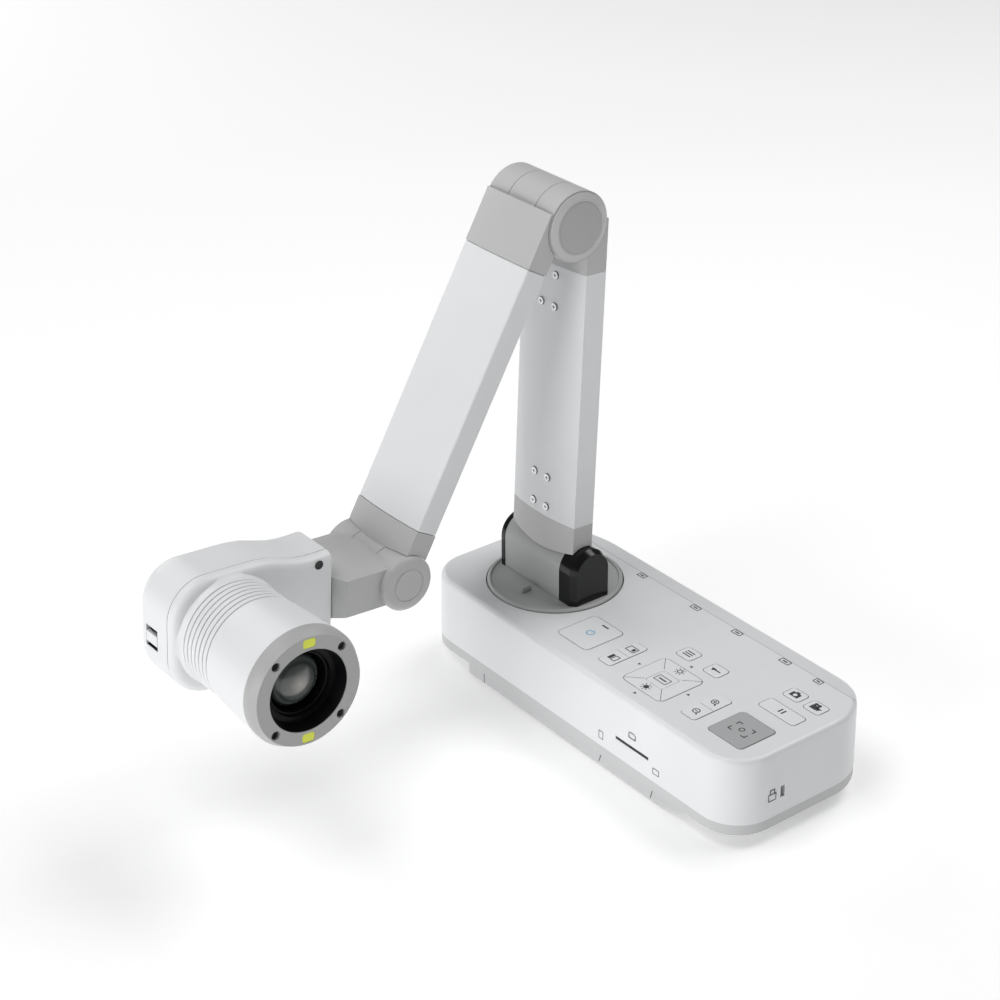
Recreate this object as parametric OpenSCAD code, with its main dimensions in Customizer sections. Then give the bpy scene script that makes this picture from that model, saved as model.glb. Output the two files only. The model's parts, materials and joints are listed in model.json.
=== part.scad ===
// Desktop document camera: a flat base with a control panel, a turntable,
// two folding arms and a camera head. Millimetres, +Z up, +X along the base
// from the arm end to the lock-slot end, -Y towards the user.
// The origin is on the table under the middle of the base.

/* [Base] */
// Length of the base along X
base_len = 272; // [270:1:276]
// Depth of the base along Y
base_dep = 110; // [109:1:112]
// Height of the control panel above the table
panel_z = 55.8; // [55:0.1:57]
// Height of the joint between the white cover and the grey case
seam_z = 15.5; // [15:0.5:17]
// Wall thickness of the base mouldings
wall = 2.4; // [2:0.1:2.8]

/* [Turntable] */
// X of the turntable centre
turn_x = -76.6; // [-78:0.1:-75]
// Y of the turntable centre
turn_y = -3; // [-4:0.5:-2]
// Radius of the turntable disc
turn_r = 39.9; // [39:0.1:41]

/* [Shoulder] */
// Y of the shoulder axis
shoulder_y = -4; // [-5:0.5:-3]
// Height of the shoulder axis
shoulder_z = 75.5; // [75:0.5:78]
// Radius of the arch of the hinge housing
arch_r = 13.2; // [12.8:0.1:13.2]
// Backward tilt of the lower arm, degrees
lower_tilt = 2.7; // [0:0.1:10]

/* [Arms] */
// Width of both arms
arm_w = 55.2; // [54:0.2:56]
// Thickness of both arms at their side edges
arm_t = 13.8; // [13.4:0.2:14.2]
// Rise of the rounded front face over the side edges
arm_bulge = 3.2; // [2.4:0.2:3.4]
// Distance from shoulder axis to elbow axis
lower_len = 211; // [205:1:220]
// Distance from elbow axis to wrist axis
fore_len = 212; // [206:1:220]
// Distance from the elbow axis to the middle plane of each arm
arm_off = 14.4; // [14.2:0.1:14.6]
// Angle of the forearm from the vertical, degrees
fore_angle = 30; // [24:1:60]

/* [Elbow and wrist] */
// Radius of the elbow knuckles
elbow_r = 20; // [19.6:0.1:20.2]
// Radius of the wrist knuckles
wrist_r = 16; // [15.6:0.1:16.2]
// Width of the tongues that sit between the ears
tongue_w = 22.8; // [22:0.2:23.4]
// Running gap between moving mouldings
gap = 0.35; // [0.3:0.05:0.5]

/* [Camera head] */
// Upward tilt of the wrist bracket and head, degrees
head_tilt = 3.8; // [0:0.1:8]
// Distance from wrist axis to the swivel joint of the head
swivel_y = 43; // [42:0.5:44]
// Distance from wrist axis to lens axis
lens_y = 106.4; // [105:0.2:108]
// Half height of the wide end of the head
head_h = 33.3; // [33:0.1:34]
// Distance from the head's centre plane to the lens face
lens_x = 93.6; // [92:0.2:95]
// Radius of the face of the lens ring
face_r = 30.6; // [30.4:0.1:31]

/* [Hidden] */
$fn = 96;
e = 0.01;
half_l = base_len / 2;
half_d = base_dep / 2;
elbow_y = -16.2;
mid_y = elbow_y + arm_off;
pin_s = 4;
pin_e = 5;
pin_w = 4.5;
stub_r = 9;
run = 0.05;
split_x = 13.6;
board_z = 45;
strip_y = 41.6;
turn_top = 57.4;
dish_z = 56.2;
arm_screw_pts = [
  [-5.7, 175.5], [5.7, 175.5], [-5.7, 157], [5.7, 157],
  [-5.7, 52.5], [5.7, 52.5], [-5.7, 34], [5.7, 34]
];

// Outline points of a rounded rectangle centred on the origin.
function round_rect(w, d, r, n = 6) = [
  for (q = [0:3])
    let (sx = (q == 0 || q == 3) ? 1 : -1, sy = (q < 2) ? 1 : -1)
      for (i = [0:n])
        let (a = q * 90 + 90 * i / n)
          [sx * (w / 2 - r) + r * cos(a), sy * (d / 2 - r) + r * sin(a)]
];

// Points on an arc, ends included.
function arc(cx, cy, r, a0, a1, n = 12) = [
  for (i = [0:n])
    let (a = a0 + (a1 - a0) * i / n)
      [cx + r * cos(a), cy + r * sin(a)]
];

// Plan of the base: each corner has a radius of its own, g is the inset.
function plan_pts(g) = concat(
  arc(-half_l + 24, -half_d + 24, 24 - g, 180, 270),
  arc(half_l - 24, -half_d + 24, 24 - g, 270, 360),
  arc(half_l - 36, half_d - 36, 36 - g, 0, 90),
  arc(-half_l + 47, half_d - 47, 47 - g, 90, 180)
);

module plan(g = 0) {
  polygon(plan_pts(g));
}

// Disc or rod along X.
module rod_x(r, x0, x1, y = 0, z = 0) {
  translate([x0, y, z])
    rotate([0, 90, 0])
      cylinder(r = r, h = x1 - x0);
}

// A pair of rods along X, one on each side, from |x| = x0 to |x| = x1.
module rod_pair(r, x0, x1, y = 0, z = 0) {
  rod_x(r, x0, x1, y, z);
  rod_x(r, -x1, -x0, y, z);
}

// Frames of the moving parts.
module at_shoulder() {
  translate([turn_x, shoulder_y, shoulder_z])
    rotate([-lower_tilt, 0, 0])
      children();
}

module at_elbow() {
  at_shoulder()
    translate([0, elbow_y, lower_len])
      rotate([lower_tilt - fore_angle, 0, 0])
        children();
}

module at_wrist() {
  at_elbow()
    translate([0, -arm_off, -fore_len])
      rotate([fore_angle - head_tilt, 0, 0])
        children();
}

module at_lens() {
  at_wrist()
    translate([0, -lens_y, 0])
      rotate([0, 90, 0])
        children();
}

// ---- Base ----

module base_block(g, z0, top) {
  hull() {
    translate([0, 0, z0])
      linear_extrude(e)
        plan(g);
    translate([0, 0, top - 3.4])
      linear_extrude(e)
        plan(g + 0.6);
    translate([0, 0, top - 1.5])
      linear_extrude(e)
        plan(g + 1.1);
    translate([0, 0, top - 0.5])
      linear_extrude(e)
        plan(g + 2.1);
    translate([0, 0, top - e])
      linear_extrude(e)
        plan(g + 3.6);
  }
}

// Wedge that slopes the back strip of the panel down to the rear edge.
module strip_wedge(drop) {
  translate([0, strip_y, panel_z - drop])
    rotate([-14, 0, 0])
      translate([-half_l - 5, 0, 0])
        cube([base_len + 10, 30, 20]);
}

// Opening for a key: outline of the key plus its gap.
module key_hole(x, y, w, d, r) {
  translate([x, y, panel_z - 8])
    linear_extrude(12)
      polygon(round_rect(w + 0.5, d + 0.5, r + 0.25));
}

module key_holes() {
  key_hole(-16.1, -25.8, 26, 28.4, 3);
  key_hole(12.3, -26, 10.5, 28.2, 2);
  key_hole(46.1, -26, 32.6, 32.6, 4);
  key_hole(35.3, 2.6, 11.6, 10.3, 2);
  key_hole(57.5, 2.7, 11.6, 10.3, 2);
  key_hole(81.1, -25.6, 11, 28, 2);
  key_hole(109.2, -26, 26.2, 26.2, 2.5);
  key_hole(109.5, 2.9, 27.3, 10.3, 2);
  key_hole(102.2, 20, 11.8, 9.6, 2);
  key_hole(118.1, 19.9, 11.8, 9.6, 2);
}

module top_cover() {
  color([0.91, 0.92, 0.93])
    difference() {
      base_block(0, seam_z, panel_z);
      translate([0, 0, seam_z - 1])
        linear_extrude(panel_z - wall - seam_z - 0.6)
          plan(wall + 1.4);
      translate([0, 0, panel_z - 10])
        linear_extrude(10 - wall)
          intersection() {
            plan(wall + 3.8);
            translate([0, -3])
              square([base_len, base_dep - 22], center = true);
          }
      strip_wedge(0);
      translate([turn_x, turn_y, panel_z - 20])
        cylinder(r = turn_r + 0.7, h = 30);
      key_holes();
      translate([54.5, -half_d, 27.5])
        cube([27.2, 12, 2], center = true);
      translate([half_l, -19.8, 29.1])
        cube([14, 3.3, 7.1], center = true);
      translate([-48, half_d, 30])
        cube([13, 16, 12], center = true);
      translate([-3, half_d, 30])
        cube([16, 16, 6.6], center = true);
      translate([33, half_d, 30])
        cube([32, 16, 13.6], center = true);
      translate([72, half_d, 30])
        cube([32, 16, 13.6], center = true);
      translate([97, half_d + 5, 30])
        rotate([90, 0, 0])
          cylinder(r = 5.2, h = 20);
    }
}

// Grey tray under the cover, with the sloped apron along the front.
module bottom_case() {
  color([0.67, 0.68, 0.69])
    difference() {
      union() {
        translate([0, 0, 9])
          linear_extrude(seam_z - 9)
            plan(0.2);
        hull() {
          translate([0, 0, 2])
            linear_extrude(e)
              plan(12);
          translate([0, 0, 9.2])
            linear_extrude(e)
              plan(1.6);
        }
        translate([0, -half_d + 1.2, 0])
          rotate([90, 0, 0])
            translate([0, 0, -12])
              linear_extrude(12)
                polygon([[-94, 9.5], [-94, 1.6], [78, 1.6], [102, 9.5]]);
      }
      translate([0, 0, 4.4])
        linear_extrude(20)
          plan(14.5);
      translate([0, 0, 10.8])
        linear_extrude(20)
          plan(wall + 0.4);
      for (x = [-112, 112], y = [-30, 24])
        translate([x, y, 0])
          cylinder(r = 2.2, h = 12);
    }
}

module ballast_plate() {
  color([0.5, 0.52, 0.54])
    translate([0, 2, 4.4])
      linear_extrude(4)
        polygon(round_rect(190, 64, 8));
}

module rubber_feet() {
  color([0.2, 0.2, 0.21])
    for (p = [[-79.4, -35.6], [70, -35.6], [-90, 30], [96, 30], [0, 0]])
      translate([p[0], p[1], 0])
        cylinder(r = 6, h = 2);
}

module case_screws() {
  color([0.6, 0.61, 0.63])
    for (x = [-112, 112], y = [-30, 24])
      translate([x, y, 3.4])
        difference() {
          union() {
            cylinder(r = 2.1, h = 1.6);
            cylinder(r = 1.2, h = 7.4);
          }
          translate([-1.3, -0.25, -1])
            cube([2.6, 0.5, 1.8]);
          translate([-0.25, -1.3, -1])
            cube([0.5, 2.6, 1.8]);
        }
}

module main_board() {
  color([0.1, 0.38, 0.24]) {
    translate([20, 3, 17])
      linear_extrude(1.6)
        polygon(round_rect(180, 76, 3));
    translate([-60, 39, 18.6])
      cube([168, 2, 21]);
    for (x = [-60, 100], y = [-32.8, 37])
      translate([x, y, 4.4])
        cylinder(r = 2.4, h = 12.6);
    for (p = [[-40, 10, 18], [-8, 0, 22], [30, 12, 14], [64, 4, 12]])
      translate([p[0], p[1], 18.6])
        linear_extrude(1.8)
          square(p[2], center = true);
  }
}

// Board under the keys, with one dome switch below each key.
module key_board() {
  color([0.12, 0.35, 0.24]) {
    translate([50, -9, board_z])
      linear_extrude(1.6)
        square([154, 70], center = true);
    for (p = [[-16, -26], [12, -17], [12, -35], [46, -14], [46, -38], [34, -26], [58, -26],
              [46.4, -26.5], [35, 3], [57.5, 3], [81, -17], [81, -35], [109, -26],
              [109.5, 3], [102, 20], [118, 20]])
      translate([p[0], p[1], board_z + 1.6])
        cylinder(r = 2.4, h = 1.4);
    for (p = [[-20, 12], [22, 12], [84, 12], [2, -36], [91.3, -36]])
      translate([p[0], p[1], board_z + 1.6])
        cylinder(r = 2.5, h = panel_z - wall - board_z - 1.6);
  }
}

module sd_reader() {
  color([0.72, 0.73, 0.75])
    translate([54.5, -half_d + 3.8, 27.5])
      difference() {
        translate([-14.6, 0, -2.4])
          cube([29.2, 27, 4.8]);
        translate([-12.3, -1, -1.1])
          cube([24.6, 26, 2.2]);
      }
}

module lock_plate() {
  color([0.4, 0.41, 0.43])
    translate([half_l - 4.6, -19.8, 29.1])
      difference() {
        cube([1.6, 12, 14], center = true);
        cube([4, 3, 7], center = true);
      }
}

// Square USB socket with its tongue.
module usb_port() {
  color([0.75, 0.76, 0.78])
    translate([-48, half_d - 14, 30])
      difference() {
        translate([-6, 0, -5.4])
          cube([12, 13.2, 10.8]);
        difference() {
          translate([-4.3, 3, -4])
            cube([8.6, 12, 8]);
          translate([-2.8, 2, -1.6])
            cube([5.6, 9.4, 3.2]);
        }
      }
}

module hdmi_port() {
  color([0.75, 0.76, 0.78])
    translate([-3, half_d - 14, 30])
      difference() {
        translate([-7.6, 0, -2.9])
          cube([15.2, 12.2, 5.8]);
        difference() {
          rotate([-90, 0, 0])
            translate([0, 0, 2])
              linear_extrude(12)
                polygon([[-7, -2.3], [7, -2.3], [7, 0.6], [5.2, 2.3], [-5.2, 2.3], [-7, 0.6]]);
          translate([-5.8, 1, -0.5])
            cube([11.6, 8.6, 1]);
        }
      }
}

// D outline of a fifteen-way display socket.
function d_shell(w, h, s) = [
  [-w / 2, -h / 2], [w / 2, -h / 2], [w / 2 - s, h / 2], [-w / 2 + s, h / 2]
];

module vga_ports() {
  color([0.2, 0.32, 0.6])
    for (x = [33, 72])
      translate([x, half_d - 14, 30]) {
        difference() {
          union() {
            translate([-15.6, 0, -6.4])
              cube([31.2, 8, 12.8]);
            rotate([90, 0, 0])
              translate([0, 0, -12.4])
                linear_extrude(5)
                  polygon(d_shell(17, 8.4, -1.6));
          }
          for (row = [0:2], i = [0:4])
            translate([(i - 2) * 2.3 + (row - 1) * 0.6, 2, (row - 1) * 2])
              rotate([-90, 0, 0])
                cylinder(r = 0.45, h = 12, $fn = 16);
        }
        for (s = [-1, 1])
          translate([s * 12.4, 7.8, 0])
            rotate([-90, 0, 0])
              difference() {
                cylinder(r = 2.6, h = 3.6, $fn = 6);
                translate([0, 0, 0.8])
                  cylinder(r = 1.2, h = 4, $fn = 24);
              }
      }
}

module dc_jack() {
  color([0.12, 0.12, 0.13])
    translate([97, half_d - 14, 30])
      rotate([-90, 0, 0]) {
        difference() {
          cylinder(r = 4.9, h = 13.2);
          translate([0, 0, 3])
            cylinder(r = 3.2, h = 12);
        }
        cylinder(r = 1.1, h = 11.4, $fn = 32);
      }
}

module status_led() {
  color([0.15, 0.16, 0.18])
    translate([-15.7, -15.2, panel_z - 1.7])
      cube([5.6, 1, 3.4], center = true);
}

// Ring fixed in the base that carries the turntable spindle.
module turn_seat() {
  color([0.3, 0.31, 0.33])
    translate([turn_x, turn_y, 0])
      difference() {
        union() {
          translate([0, 0, 46])
            cylinder(r = 44, h = 4);
          translate([0, 0, 49])
            difference() {
              cylinder(r = 44, h = panel_z - wall - 49);
              translate([0, 0, -1])
                cylinder(r = turn_r + 1.3, h = 10);
            }
          translate([0, 0, 40])
            cylinder(r = 17, h = 7);
        }
        translate([0, 0, 30])
          cylinder(r = 12 + run, h = 30);
      }
}

// ---- Turntable and shoulder ----

module turntable() {
  color([0.63, 0.64, 0.65])
    translate([turn_x, turn_y, 0])
      union() {
        rotate_extrude()
          polygon([
            [0, 50.4], [turn_r - 1, 50.4], [turn_r, 51.4], [turn_r, panel_z + 0.5],
            [turn_r - 1.1, turn_top], [turn_r - 2.1, turn_top],
            [turn_r - 2.7, dish_z], [0, dish_z]
          ]);
        translate([0, 0, 38])
          cylinder(r = 12, h = 12.6);
        translate([1.2, -26.5, dish_z + 1.2])
          rotate([-90, 0, 0])
            cylinder(r = 1.9, h = 6.5);
      }
}

module turn_clamp() {
  color([0.55, 0.56, 0.58])
    translate([turn_x, turn_y, 36.4])
      difference() {
        cylinder(r = 16, h = 1.6);
        translate([0, 0, -1])
          cylinder(r = 4, h = 4);
      }
}

// Side view of the shoulder housing and its end caps: an arch on straight legs.
module arch(r, z0) {
  union() {
    circle(r = r);
    translate([z0 - shoulder_z, -r])
      square([shoulder_z - z0, 2 * r]);
  }
}

module arch_x(r, x0, x1, z0) {
  translate([x0, shoulder_y, shoulder_z])
    rotate([0, 90, 0])
      linear_extrude(x1 - x0)
        rotate([0, 0, 180])
          arch(r, z0);
}

module hinge_housing() {
  color([0.66, 0.67, 0.68])
    difference() {
      arch_x(arch_r, -106, -55, dish_z);
      translate([turn_x - tongue_w / 2 - gap, shoulder_y - 9.9, shoulder_z - 10.6])
        cube([tongue_w + 2 * gap, 40, 40]);
      rod_x(pin_s, -110, -50, shoulder_y, shoulder_z);
    }
}

// Black end cap with a bevelled outer edge.
module shoulder_cap(x_in, x_out, bevel) {
  s = sign(x_out - x_in);
  color([0.07, 0.07, 0.08])
    difference() {
      union() {
        arch_x(arch_r + 0.3, min(x_in, x_out - s * bevel), max(x_in, x_out - s * bevel), dish_z);
        hull() {
          translate([x_out - s * bevel, shoulder_y, shoulder_z])
            rotate([0, 90, 0])
              linear_extrude(e)
                rotate([0, 0, 180])
                  arch(arch_r + 0.3, dish_z);
          translate([x_out - (s > 0 ? e : 0), shoulder_y + 1.2, shoulder_z - 0.6])
            rotate([0, 90, 0])
              linear_extrude(e)
                rotate([0, 0, 180])
                  arch(arch_r - 1.7, dish_z + 0.6);
        }
      }
      rod_x(pin_s, min(x_in, x_in + s * 3), max(x_in, x_in + s * 3), shoulder_y, shoulder_z);
    }
}

module right_cap() {
  shoulder_cap(-55, -42.3, 3.2);
}

module left_cap() {
  shoulder_cap(-106, -111.2, 2.2);
}

module shoulder_pin() {
  color([0.78, 0.79, 0.8])
    rod_x(pin_s, -108.6, -52.4, shoulder_y, shoulder_z);
}

// ---- Arms ----

// Section of both arms: flat back, square edges and a rounded front.
module arm_section(g = 0) {
  w = arm_w - 2 * g;
  b = arm_bulge;
  r = (arm_w * arm_w / 4 + b * b) / (2 * b);
  intersection() {
    translate([-w / 2, -arm_t / 2 - b])
      square([w, arm_t + b - g]);
    translate([0, r - arm_t / 2 - b])
      circle(r = r - g, $fn = 360);
  }
}

module arm_bar(z0, z1, y, g = 0) {
  translate([0, y, z0])
    linear_extrude(z1 - z0)
      arm_section(g);
}

// Grey foot of the lower arm: it straddles the housing, with a tongue inside.
module lower_foot() {
  color([0.66, 0.67, 0.68])
    at_shoulder()
      difference() {
        union() {
          difference() {
            arm_bar(2, 27.5, mid_y);
            rod_x(arch_r + 0.75, -40, 40);
            translate([-18.6, mid_y - 4, 19.2])
              cube([37.2, 8, 20]);
          }
          intersection() {
            translate([-tongue_w / 2, -7, 0])
              cube([tongue_w, 12, 18.5]);
            translate([-20, -8, -1])
              cube([40, 16, 30]);
          }
          rod_x(9.4, -tongue_w / 2, tongue_w / 2);
        }
        rod_x(pin_s + run, -20, 20);
      }
}

module lower_shell() {
  color([0.9, 0.91, 0.92])
    at_shoulder()
      difference() {
        arm_bar(27.6, 181.3, mid_y);
        translate([0, 0, -1])
          arm_bar(26, 190, mid_y, 2.2);
        for (p = arm_screw_pts)
          translate([p[0], mid_y, p[1]])
            rotate([90, 0, 0])
              cylinder(r = 1.25, h = 20, $fn = 32);
      }
}

module lower_head() {
  color([0.66, 0.67, 0.68])
    at_shoulder()
      difference() {
        union() {
          arm_bar(181.4, lower_len + 0.8, mid_y);
          rod_pair(elbow_r, tongue_w / 2 + gap, arm_w / 2, elbow_y, lower_len);
        }
        rod_x(elbow_r + gap, -tongue_w / 2 - gap, tongue_w / 2 + gap, elbow_y, lower_len);
        rod_x(pin_e, -40, 40, elbow_y, lower_len);
        translate([-18.6, mid_y - 4, 176])
          cube([37.2, 8, 12]);
      }
}

// Steel channel inside the white shell that ties both grey ends together.
module lower_spine() {
  color([0.74, 0.75, 0.77])
    at_shoulder()
      translate([0, mid_y, 0])
        difference() {
          translate([-18.6, -4, 19.2])
            cube([37.2, 8, 168.8]);
          translate([-17, -5, 15])
            cube([34, 7.4, 180]);
        }
}

// Screws on the front face of the lower arm.
module arm_screws() {
  color([0.8, 0.81, 0.82])
    at_shoulder()
      for (p = arm_screw_pts)
        let (b = arm_bulge, r = (arm_w * arm_w / 4 + b * b) / (2 * b))
          translate([p[0], mid_y - arm_t / 2 - b + r - sqrt(r * r - p[0] * p[0]), p[1]])
            rotate([90, 0, 0])
              difference() {
                union() {
                  translate([0, 0, -3.6])
                    cylinder(r = 1.25, h = 4, $fn = 32);
                  translate([0, 0, 0.18])
                    cylinder(r = 2.1, h = 0.75, $fn = 32);
                }
                translate([-1.3, -0.25, 0.4])
                  cube([2.6, 0.5, 2]);
                translate([-0.25, -1.3, 0.4])
                  cube([0.5, 2.6, 2]);
              }
}

// Round cover over the end of a hinge: a disc with a bevelled edge.
module hinge_disc(r, h, bevel) {
  rotate([0, 90, 0])
    rotate_extrude()
      polygon([[0, 0], [r, 0], [r, h * 0.3], [r - bevel, h], [0, h]]);
}

module elbow_cap() {
  color([0.6, 0.61, 0.62])
    at_shoulder()
      translate([arm_w / 2, elbow_y, lower_len])
        hinge_disc(elbow_r - 0.9, 2.4, 3.2);
}

module elbow_plug() {
  color([0.66, 0.67, 0.68])
    at_shoulder()
      translate([-arm_w / 2, elbow_y, lower_len])
        mirror([1, 0, 0])
          hinge_disc(elbow_r - 0.9, 1.4, 3);
}

module elbow_pin() {
  color([0.78, 0.79, 0.8])
    at_shoulder()
      rod_x(pin_e, -arm_w / 2, arm_w / 2, elbow_y, lower_len);
}

module fore_head() {
  color([0.68, 0.69, 0.7])
    at_elbow()
      difference() {
        union() {
          difference() {
            arm_bar(-30.5, 0.8, -arm_off);
            rod_pair(elbow_r + gap, tongue_w / 2 + gap / 2, 40);
          }
          rod_x(elbow_r, -tongue_w / 2, tongue_w / 2);
        }
        rod_x(pin_e + run, -40, 40);
        translate([-18.6, -arm_off - 4, -40])
          cube([37.2, 8, 14.6]);
      }
}

module fore_shell() {
  color([0.92, 0.93, 0.94])
    at_elbow()
      difference() {
        arm_bar(-fore_len + 29.1, -30.6, -arm_off);
        arm_bar(-fore_len + 20, -20, -arm_off, 2.2);
      }
}

module fore_foot() {
  color([0.68, 0.69, 0.7])
    at_elbow()
      difference() {
        union() {
          difference() {
            arm_bar(-fore_len, -fore_len + 29, -arm_off);
            rod_pair(wrist_r + gap, tongue_w / 2 + gap / 2, 40, -arm_off, -fore_len);
          }
          rod_x(wrist_r, -tongue_w / 2, tongue_w / 2, -arm_off, -fore_len);
        }
        rod_x(pin_w + run, -40, 40, -arm_off, -fore_len);
        translate([-18.6, -arm_off - 4, -fore_len + 21.4])
          cube([37.2, 8, 15]);
      }
}

module fore_spine() {
  color([0.74, 0.75, 0.77])
    at_elbow()
      translate([0, -arm_off, -fore_len])
        difference() {
          translate([-18.6, -4, 21.4])
            cube([37.2, 8, fore_len - 46.8]);
          translate([-17, -2.4, 15])
            cube([34, 8, fore_len - 30]);
        }
}

// ---- Wrist ----

// Yoke with two ears, a crowned top and bottom, and bevelled front corners.
module wrist_bracket() {
  hw = 26;
  edge = 10.9;
  crown = 3.4;
  cr = (hw * hw + crown * crown) / (2 * crown);
  color([0.65, 0.66, 0.67])
    at_wrist()
      difference() {
        union() {
          intersection() {
            translate([0, 0, -20])
              linear_extrude(40)
                polygon([
                  [hw, 0], [hw, -37.6], [19.4, -swivel_y], [-19.4, -swivel_y],
                  [-hw, -37.6], [-hw, 0]
                ]);
            rotate([90, 0, 0])
              linear_extrude(swivel_y + 1)
                intersection() {
                  translate([0, edge + crown - cr])
                    circle(r = cr, $fn = 360);
                  translate([0, -edge - crown + cr])
                    circle(r = cr, $fn = 360);
                  square([2 * hw, 40], center = true);
                }
          }
          rod_pair(wrist_r, tongue_w / 2 + gap, arm_w / 2 - 0.6);
        }
        rod_x(wrist_r + gap, -tongue_w / 2 - gap, tongue_w / 2 + gap);
        rod_x(pin_w, -40, 40);
        translate([0, -30, 0])
          rotate([90, 0, 0])
            cylinder(r = stub_r - 3, h = 20);
      }
}

module wrist_cap() {
  color([0.6, 0.61, 0.62])
    at_wrist()
      translate([arm_w / 2 - 0.6, 0, 0])
        hinge_disc(wrist_r, 3.6, 2.6);
}

module wrist_plug() {
  color([0.65, 0.66, 0.67])
    at_wrist()
      translate([-arm_w / 2 + 0.6, 0, 0])
        mirror([1, 0, 0])
          hinge_disc(wrist_r, 2, 2.6);
}

module wrist_pin() {
  color([0.78, 0.79, 0.8])
    at_wrist()
      rod_x(pin_w, -arm_w / 2 + 0.6, arm_w / 2 - 0.6);
}

// Hollow spigot on which the head turns; its collar keeps the head on.
module swivel_stub() {
  color([0.3, 0.31, 0.33])
    at_wrist()
      rotate([90, 0, 0])
        difference() {
          union() {
            translate([0, 0, 34])
              cylinder(r = stub_r - 3, h = 18);
            translate([0, 0, swivel_y])
              cylinder(r = stub_r, h = 5.4);
            translate([0, 0, swivel_y + 5.4])
              cylinder(r = stub_r + 3, h = 2);
          }
          translate([0, 0, 30])
            cylinder(r = 3.4, h = 30);
        }
}

// ---- Camera head ----

// Side outline of the head in the plane of the lens axis, y then z, inset g.
function head_side(g) =
  let (
    r = 24,
    y1 = -lens_y,
    far = y1 - head_h - 0.6 + g,
    h = head_h - g,
    near = -swivel_y - 0.5 - g
  ) concat(
    [[near, -27.6 + g], [-50, -26.9 + g], [-57, -26.9 + g], [-64, -27.9 + g], [-72, -30.2 + g],
     [-80, -32.2 + g], [-90, -h]],
    [for (p = arc(far + r, -h + r, r, 270, 180)) p],
    [for (p = arc(far + r, h - r, r, 180, 90)) p],
    [[-90, h], [-80, 32.2 - g], [-72, 30.2 - g], [-64, 27.9 - g], [-57, 26.9 - g],
     [-50, 26.9 - g], [near, 27.6 - g]]
  );

// Head body between x0 and x1, rounded along its edges, inset g.
module head_body(x0, x1, g) {
  intersection() {
    translate([x0, 0, 0])
      rotate([90, 0, 90])
        linear_extrude(x1 - x0)
          polygon(head_side(g));
    rotate([90, 0, 0])
      linear_extrude(160)
        polygon(round_rect(40 - 2 * g, 2 * (head_h - g), 9 - g / 2, 8));
    translate([0, 0, -50])
      linear_extrude(100)
        polygon(concat(
          [[20 - g, -swivel_y - 0.5 - g]],
          [[-20 + g, -swivel_y - 0.5 - g]],
          arc(-20 + 9, -lens_y - head_h - 0.6 + 9, 9 - g, 180, 270, 8),
          arc(20 - 9, -lens_y - head_h - 0.6 + 9, 9 - g, 270, 360, 8)
        ));
  }
}

module head_back() {
  color([0.91, 0.92, 0.93])
    at_wrist()
      difference() {
        head_body(-20, split_x, 0);
        head_body(-17.6, split_x + 1, 2.4);
        rotate([90, 0, 0])
          cylinder(r = stub_r + run, h = 60);
        translate([-2, -lens_y - head_h, -4.5])
          cube([11.4, 12, 12], center = true);
      }
}

// Front half of the head with the grooved lens tube.
module head_front() {
  color([0.92, 0.93, 0.94])
    at_wrist()
      difference() {
        union() {
          head_body(split_x, 20, 0);
          translate([0, -lens_y, 0])
            rotate([0, 90, 0])
              rotate_extrude()
                polygon(concat(
                  [[0, split_x + 2], [30.4, split_x + 2], [30.2, 22.8]],
                  [for (i = [0:6])
                    for (q = [[30, 23.6], [29.4, 24], [30, 24.4]])
                      [q[0], q[1] + 3.6 * i]],
                  [[30.6, 48.6], [31.2, 52], [32.9, 85.2], [0, 85.2]]
                ));
        }
        head_body(split_x - 1, 17.6, 2.4);
        translate([0, -lens_y, 0])
          rotate([0, 90, 0])
            cylinder(r = 27, h = 100);
        translate([0, 0, 0])
          rotate([90, 0, 0])
            cylinder(r = stub_r + run, h = 60);
        translate([18.2, -51.6, 22.4])
          rotate([0, 90, 0])
            cylinder(r = 2.2, h = 20);
        translate([10, -51.6, 22.4])
          rotate([0, 90, 0])
            cylinder(r = 1.2, h = 20);
      }
}

module head_screw() {
  color([0.3, 0.31, 0.33])
    at_wrist()
      translate([9, -51.6, 22.4])
        rotate([0, 90, 0])
          difference() {
            union() {
              cylinder(r = 1.2, h = 9.6);
              translate([0, 0, 9.2])
                cylinder(r = 2, h = 1.2);
            }
            translate([-1.2, -0.25, 9.9])
              cube([2.4, 0.5, 2]);
            translate([-0.25, -1.2, 9.9])
              cube([0.5, 2.4, 2]);
          }
}

module ring_holes(r, z0, h) {
  for (a = [45, 135, 225, 315])
    rotate([0, 0, a])
      translate([27.5, 0, z0])
        cylinder(r = r, h = h, $fn = 40);
}

// Grey ring on the lens face, with screw recesses and two lamp windows.
module lens_ring() {
  color([0.62, 0.63, 0.64])
    at_lens()
      difference() {
        rotate_extrude()
          polygon([
            [23, 79], [26.8, 79], [26.8, 85.2], [33, 85.2], [33, lens_x - 5],
            [face_r, lens_x], [23, lens_x]
          ]);
        ring_holes(2.5, lens_x - 3.4, 10);
        ring_holes(1.1, lens_x - 12, 10);
        for (s = [-1, 1])
          translate([s * 27, 0, lens_x - 2.5])
            linear_extrude(5)
              polygon(round_rect(5.2, 7.4, 1.5));
      }
}

module ring_screws() {
  color([0.25, 0.25, 0.27])
    at_lens()
      difference() {
        union() {
          ring_holes(2.2, lens_x - 3.4, 1.5);
          ring_holes(1, lens_x - 8, 5);
        }
        for (a = [45, 135, 225, 315])
          rotate([0, 0, a])
            translate([27.5, 0, lens_x - 2])
              cube([0.6, 2.4, 1.4], center = true);
      }
}

module lamp_windows() {
  color([0.82, 0.86, 0.25])
    at_lens()
      for (s = [-1, 1])
        translate([s * 27, 0, lens_x - 2.5])
          linear_extrude(2.4)
            polygon(round_rect(5.2, 7.4, 1.5));
}

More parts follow.
